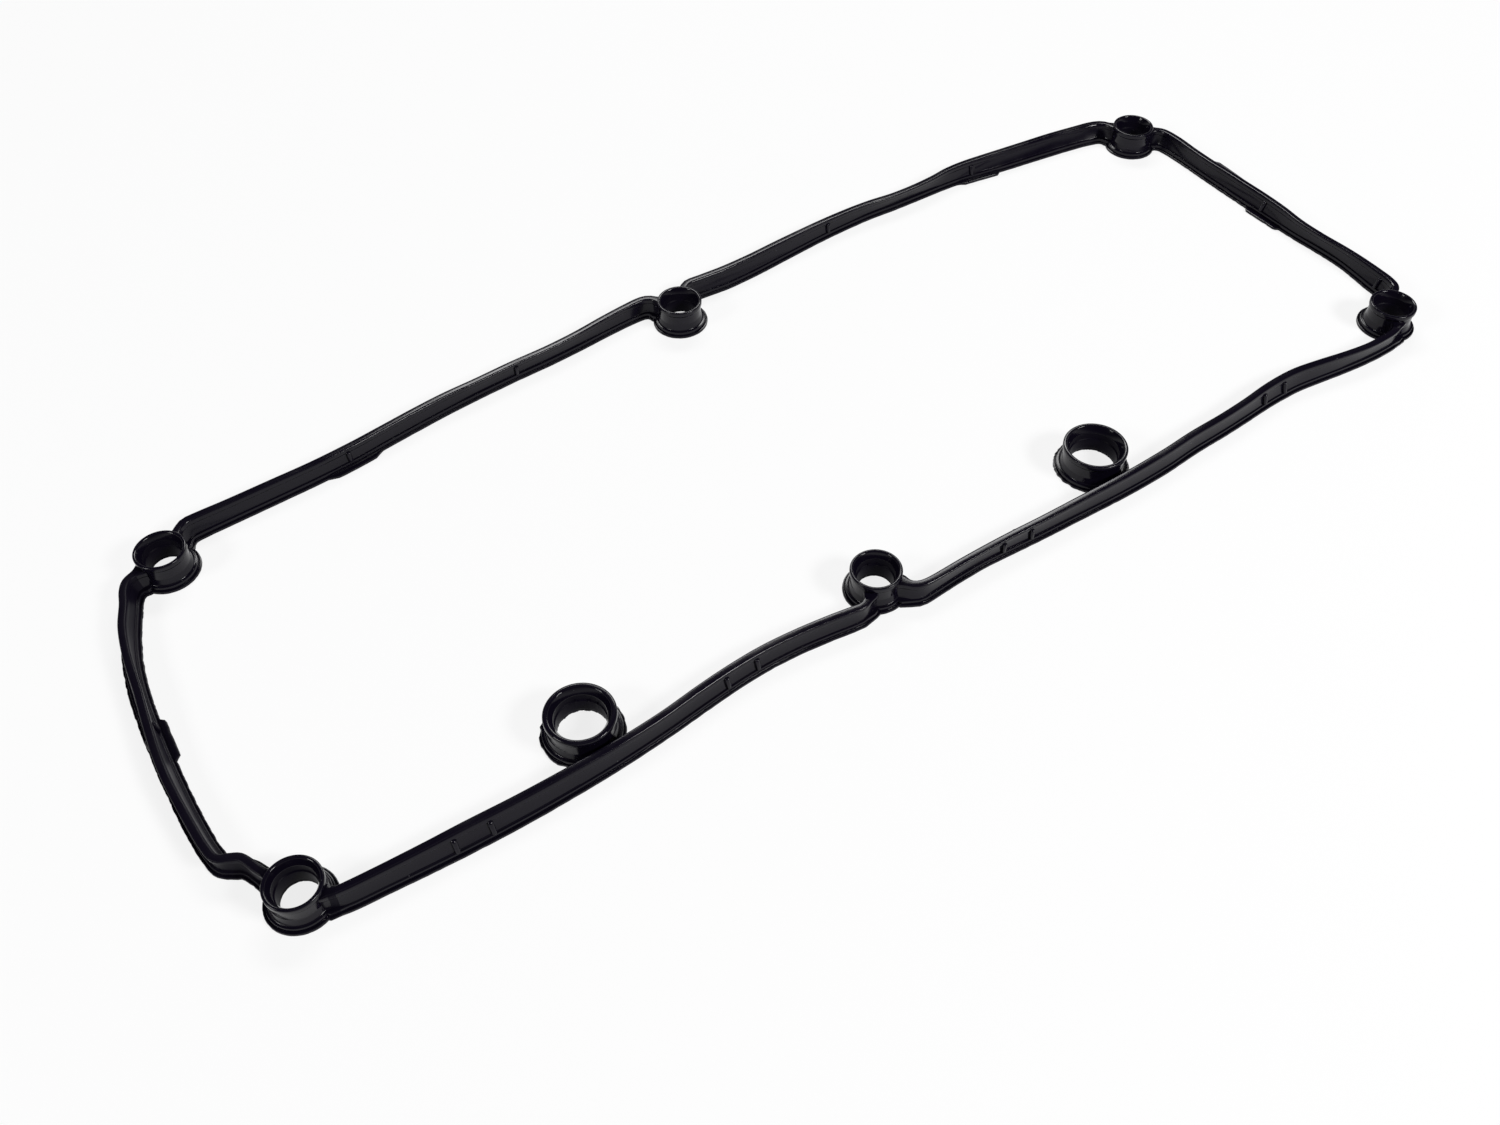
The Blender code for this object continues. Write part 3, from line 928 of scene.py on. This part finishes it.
def build_rib(name, place, outward, lean, side, radius):
    """A small upright pill, sunk into the stem's face."""
    activate_none()
    bpy.ops.mesh.primitive_cylinder_add(
        vertices=RIB_SIDES,
        radius=radius * MM,
        depth=(RIB_HIGH - RIB_LOW) * MM,
    )
    made = bpy.context.active_object
    made.name = name
    bevel = made.modifiers.new("rounded ends", "BEVEL")
    bevel.width = radius * RIB_ROUNDING * MM
    bevel.segments = 4
    bevel.limit_method = "ANGLE"
    bpy.ops.object.modifier_apply(modifier=bevel.name)
    for vertex in made.data.vertices:
        height = vertex.co.z / MM + (RIB_HIGH + RIB_LOW) / 2
        share = (height - LEDGE_TOP) / (STEM_TOP - LEDGE_TOP)
        stem = STEM_WIDE + (STEM_SLIM - STEM_WIDE) * min(max(share, 0.0), 1.0)
        middle = place + outward * (side * (stem + RIB_STANDOFF) + lean_at(height, lean))
        across = outward * (vertex.co.x / MM)
        along = Vector((-outward.y, outward.x)) * (vertex.co.y / MM)
        spot = middle + across + along
        vertex.co = Vector((spot.x, spot.y, height)) * MM


def noise_height(nodes, links, place, scale, detail):
    """The noise at a place, as a socket."""
    made = nodes.new("ShaderNodeTexNoise")
    made.inputs["Scale"].default_value = scale
    made.inputs["Detail"].default_value = detail
    links.new(place, made.inputs["Vector"])
    return made.outputs["Fac"]


def math_value(nodes, links, operation, *values):
    """The result of two values, each a socket or a plain number, as a socket."""
    made = nodes.new("ShaderNodeMath")
    made.operation = operation
    for value, socket in zip(values, made.inputs):
        if isinstance(value, float):
            socket.default_value = value
        else:
            links.new(value, socket)
    return made.outputs["Value"]


def ranged(nodes, links, value, source_range, result_range=(0.0, 1.0)):
    """The value carried from one range into another, as a socket."""
    made = nodes.new("ShaderNodeMapRange")
    ends = ("From Min", "From Max", "To Min", "To Max")
    for end, number in zip(ends, (*source_range, *result_range)):
        made.inputs[end].default_value = number
    links.new(value, made.inputs["Value"])
    return made.outputs["Result"]


def bumped(nodes, links, height, strength, distance):
    """A bump of that height, as a node."""
    made = nodes.new("ShaderNodeBump")
    made.inputs["Strength"].default_value = strength
    made.inputs["Distance"].default_value = distance
    links.new(height, made.inputs["Height"])
    return made


def rubber_material(name, look, roughness, refraction, bump):
    """Moulded black rubber: fine mould texture, patchy gloss and a little dust."""
    material = bpy.data.materials.new(name)
    material.use_nodes = True
    nodes, links = material.node_tree.nodes, material.node_tree.links
    shader = nodes["Principled BSDF"]
    shader.inputs["IOR"].default_value = refraction
    place = nodes.new("ShaderNodeTexCoord").outputs["Object"]

    patches = noise_height(nodes, links, place, PATCH_SCALE, 3.0)
    rough_range = [roughness + change for change in PATCH_GLOSS]
    gloss = ranged(nodes, links, patches, PATCH_RANGE, rough_range)
    links.new(gloss, shader.inputs["Roughness"])

    specks = nodes.new("ShaderNodeTexVoronoi")
    specks.inputs["Scale"].default_value = DUST_SCALE
    links.new(place, specks.inputs["Vector"])
    near = ranged(nodes, links, specks.outputs["Distance"], DUST_EDGE)
    split = nodes.new("ShaderNodeSeparateColor")
    links.new(specks.outputs["Color"], split.inputs["Color"])
    rare = math_value(nodes, links, "GREATER_THAN", split.outputs["Red"], DUST_RARITY)
    dust = math_value(nodes, links, "MULTIPLY", near, rare)
    colour = nodes.new("ShaderNodeMix")
    colour.data_type = "RGBA"
    colour.inputs["A"].default_value = (*look.colour, 1.0)
    colour.inputs["B"].default_value = DUST_COLOUR
    links.new(dust, colour.inputs["Factor"])
    links.new(colour.outputs["Result"], shader.inputs["Base Color"])

    layers = []
    for scale, share, distance in (GRAIN, WAVES):
        height = noise_height(nodes, links, place, scale, 2.0)
        layers.append(bumped(nodes, links, height, bump * share, distance))
    grain, waves = layers
    links.new(grain.outputs["Normal"], waves.inputs["Normal"])
    links.new(waves.outputs["Normal"], shader.inputs["Normal"])
    material.diffuse_color = (*look.colour, 1.0)
    return material


class GASKET_OT_strips(bpy.types.Operator):
    """Build the six stretches of strip."""

    bl_idname = "gasket.strips"
    bl_label = "Strips"

    def execute(self, context):
        sizes = context.scene.gasket_sizes
        outline = strip_outline()
        for name in SPANS:
            build_span(name, sizes, outline)
        return {"FINISHED"}


class GASKET_OT_collars(bpy.types.Operator):
    """Build the bolt collars and the two larger rings."""

    bl_idname = "gasket.collars"
    bl_label = "Collars and rings"

    def execute(self, context):
        sizes = context.scene.gasket_sizes
        for names, flange, rim, sides in (
            (COLLARS, sizes.collar_flange, sizes.collar_rim, sizes.collar_sides),
            (RINGS, sizes.ring_flange, sizes.ring_rim, sizes.ring_sides),
        ):
            for name in names:
                build_collar(name, flange, rim, throat_of(name, sizes), sides)
        return {"FINISHED"}


class GASKET_OT_ribs(bpy.types.Operator):
    """Build the small upright ribs on the stem and the nubs inside two of the holes."""

    bl_idname = "gasket.ribs"
    bl_label = "Ribs"

    def execute(self, context):
        sizes = context.scene.gasket_sizes
        radius = sizes.rib_radius
        for span, axis, places, side in RIBS:
            route = span_route(span, RIB_ROUTE_STEP)
            for number, place in enumerate(places):
                wanted = place + SHIFT[axis]
                middle, outward, lean = min(route, key=lambda stop: abs(stop[0][axis] - wanted))
                build_rib(f"rib_{span}_{side}_{number}", middle, outward, lean, side, radius)
        for name, angles in NUBS.items():
            reach = throat_of(name, sizes) + NUB_INSET
            for number, angle in enumerate(angles):
                build_nub(name, number, angle, reach)
        return {"FINISHED"}


class GASKET_OT_mould(bpy.types.Operator):
    """Join strips, collars and ribs into one moulding and give it its rubber."""

    bl_idname = "gasket.mould"
    bl_label = "One moulding"

    def execute(self, context):
        look = context.scene.rubber_look
        parts = bpy.data.collections.new("moulding parts")
        context.scene.collection.children.link(parts)
        names = ["strip_" + name for name in SPANS] + [*COLLARS, *RINGS]
        names += [made.name for made in bpy.data.objects if made.name.startswith("rib_")]
        first, *others = [bpy.data.objects[name] for name in names]
        for made in others:
            parts.objects.link(made)
        activate(first)
        join = first.modifiers.new("join", "BOOLEAN")
        join.operation = "UNION"
        join.operand_type = "COLLECTION"
        join.collection = parts
        join.solver = "EXACT"
        bpy.ops.object.modifier_apply(modifier=join.name)
        for made in others:
            bpy.data.objects.remove(made, do_unlink=True)
        bpy.data.collections.remove(parts)
        first.name = "gasket_moulding"
        first.data.name = "gasket_moulding"
        clean_mesh(first)
        first.data.materials.clear()
        for name, roughness, refraction, bump in FINISHES:
            rubber = rubber_material(
                name,
                look,
                getattr(look, roughness),
                getattr(look, refraction),
                bump,
            )
            first.data.materials.append(rubber)
        mark_finishes(first, context.scene.gasket_sizes)
        activate(first)
        bpy.ops.object.shade_smooth_by_angle(angle=math.radians(SMOOTH_ANGLE))
        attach(first, BODY)
        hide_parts(NODE)
        return {"FINISHED"}


def clean_mesh(made):
    """Merges doubles, dissolves the join's slivers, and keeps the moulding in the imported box."""
    mesh = bmesh.new()
    mesh.from_mesh(made.data)
    bmesh.ops.remove_doubles(mesh, verts=mesh.verts, dist=JOIN_MERGE)
    bmesh.ops.dissolve_degenerate(mesh, edges=mesh.edges, dist=SLIVER)
    low, high = CAD_BOX
    for vertex in mesh.verts:
        for axis in range(3):
            vertex.co[axis] = min(max(vertex.co[axis], low[axis]), high[axis])
    bmesh.ops.recalc_face_normals(mesh, faces=mesh.faces)
    mesh.to_mesh(made.data)
    mesh.free()


def mark_finishes(made, sizes):
    """Gives the mouths their smoother rubber, and the bores and the left end their duller ones.

    The left end is all that lies left of the far collar's centre and outside both flanges there,
    which takes in the first few millimetres of the near strip's outer side.
    """
    holes = []
    for name in (*COLLARS, *RINGS):
        holes.append((centre_of(name), throat_of(name, sizes) + HOLE_MARGIN))
    left_collars = [centre_of(name) for name in SPANS["left"][:2]]
    left_end = max(centre.x for centre in left_collars)
    for face in made.data.polygons:
        middle = face.center / MM
        for centre, radius in holes:
            arm = middle.xy - centre
            if arm.length < radius and face.normal.xy.dot(arm) < 0:
                face.material_index = MOUTH if middle.z > MOUTH_BOTTOM else BORE
        clear = min((middle.xy - centre).length for centre in left_collars)
        if middle.x < left_end and clear > sizes.collar_flange:
            face.material_index = DULL


def seen_or_mirrored(nodes, links):
    """A socket: 1 for what the eye sees, also in reflections or through glass, and 0 for light."""
    path = nodes.new("ShaderNodeLightPath")
    seen = path.outputs["Is Camera Ray"]
    for ray in ("Is Glossy Ray", "Is Transmission Ray"):
        seen = math_value(nodes, links, "MAXIMUM", seen, path.outputs[ray])
    return seen


def floor_material(studio):
    """A matt table, partly plain white to the eye and in reflections, that keeps the shadow."""
    material = bpy.data.materials.new("white_table")
    material.use_nodes = True
    nodes, links = material.node_tree.nodes, material.node_tree.links
    nodes.remove(nodes["Principled BSDF"])
    matt = nodes.new("ShaderNodeBsdfDiffuse")
    matt.inputs["Color"].default_value = (*studio.floor_colour, 1.0)
    seen = seen_or_mirrored(nodes, links)
    share = math_value(nodes, links, "MULTIPLY", seen, studio.floor_white)
    white = nodes.new("ShaderNodeEmission")
    white.inputs["Strength"].default_value = 1.0
    mix = nodes.new("ShaderNodeMixShader")
    links.new(share, mix.inputs["Fac"])
    links.new(matt.outputs["BSDF"], mix.inputs[1])
    links.new(white.outputs["Emission"], mix.inputs[2])
    links.new(mix.outputs["Shader"], nodes["Material Output"].inputs["Surface"])
    return material


def add_lamp(name, azimuth, elevation, distance, size, power):
    """A soft rectangular lamp aimed at the gasket's middle."""
    data = bpy.data.lights.new(name, "AREA")
    data.shape = "RECTANGLE"
    data.size, data.size_y = size
    data.energy = power
    lamp = bpy.data.objects.new(name, data)
    turn, rise = math.radians(azimuth), math.radians(elevation)
    flat = math.cos(rise)
    away = Vector((math.cos(turn) * flat, math.sin(turn) * flat, math.sin(rise)))
    lamp.location = away * distance
    lamp.rotation_euler = away.to_track_quat("Z", "Y").to_euler()
    bpy.context.scene.collection.objects.link(lamp)


def add_floor(studio):
    activate_none()
    bpy.ops.mesh.primitive_plane_add(size=FLOOR_SIZE, location=(0.0, 0.0, FLOOR_LEVEL))
    floor = bpy.context.active_object
    floor.name = "table"
    floor.data.materials.append(floor_material(studio))
    return floor


def add_lamps(studio):
    for name, power, azimuth, elevation, distance, size in LAMPS:
        add_lamp(name, azimuth, elevation, distance, size, getattr(studio, power))


def set_world(scene, studio):
    """A dim room, whose horizon is as white as the far table where it is seen or mirrored.

    The white fades upwards.
    """
    world = bpy.data.worlds.new("room")
    world.use_nodes = True
    nodes, links = world.node_tree.nodes, world.node_tree.links
    shade = nodes["Background"]
    shade.inputs["Color"].default_value = (1.0, 1.0, 1.0, 1.0)
    split = nodes.new("ShaderNodeSeparateXYZ")
    links.new(nodes.new("ShaderNodeTexCoord").outputs["Generated"], split.inputs["Vector"])
    white = (studio.floor_white - studio.room_strength, 0.0)
    fade = ranged(nodes, links, split.outputs["Z"], (HORIZON_WHITE, HORIZON_DARK), white)
    seen = seen_or_mirrored(nodes, links)
    horizon = math_value(nodes, links, "MULTIPLY", fade, seen)
    both = math_value(nodes, links, "ADD", horizon, studio.room_strength)
    links.new(both, shade.inputs["Strength"])
    scene.world = world


def set_camera(scene, studio):
    data = bpy.data.cameras.new("camera")
    data.sensor_width = SENSOR_WIDTH
    data.lens = studio.focal_length
    data.clip_start, data.clip_end = VIEW_RANGE
    camera = bpy.data.objects.new("camera", data)
    scene.collection.objects.link(camera)
    camera.location = CAMERA_PLACE
    camera.rotation_euler = [math.radians(angle) for angle in CAMERA_TURN]
    scene.camera = camera
    scene.view_settings.view_transform = "Standard"


class GASKET_OT_stage(bpy.types.Operator):
    """Build the table, the lamps, the room light and the camera."""

    bl_idname = "gasket.stage"
    bl_label = "Stage"

    def execute(self, context):
        studio = context.scene.studio_look
        add_floor(studio)
        add_lamps(studio)
        set_world(context.scene, studio)
        set_camera(context.scene, studio)
        return {"FINISHED"}


class GASKET_PT_panel(bpy.types.Panel):
    """Sizes, looks and steps of the gasket."""

    bl_label = "Gasket"
    bl_idname = "GASKET_PT_panel"
    bl_space_type = "VIEW_3D"
    bl_region_type = "UI"
    bl_category = "Gasket"

    def draw(self, context):
        scene = context.scene
        for group in (scene.gasket_sizes, scene.rubber_look, scene.studio_look):
            box = self.layout.box()
            for name in group.bl_rna.properties.keys():
                if name not in ("rna_type", "name"):
                    box.prop(group, name)
        for step in STEPS:
            self.layout.operator(step)


STEPS = ("gasket.strips", "gasket.collars", "gasket.ribs", "gasket.mould", "gasket.stage")
CLASSES = (
    GasketSizes,
    RubberLook,
    StudioLook,
    GASKET_OT_strips,
    GASKET_OT_collars,
    GASKET_OT_ribs,
    GASKET_OT_mould,
    GASKET_OT_stage,
    GASKET_PT_panel,
)


def register():
    for cls in CLASSES:
        bpy.utils.register_class(cls)
    bpy.types.Scene.gasket_sizes = bpy.props.PointerProperty(type=GasketSizes)
    bpy.types.Scene.rubber_look = bpy.props.PointerProperty(type=RubberLook)
    bpy.types.Scene.studio_look = bpy.props.PointerProperty(type=StudioLook)


def unregister():
    del bpy.types.Scene.studio_look
    del bpy.types.Scene.rubber_look
    del bpy.types.Scene.gasket_sizes
    for cls in reversed(CLASSES):
        bpy.utils.unregister_class(cls)


def main():
    register()
    bpy.ops.gasket.strips()
    bpy.ops.gasket.collars()
    bpy.ops.gasket.ribs()
    bpy.ops.gasket.mould()
    bpy.ops.gasket.stage()


if __name__ == "__main__":
    main()
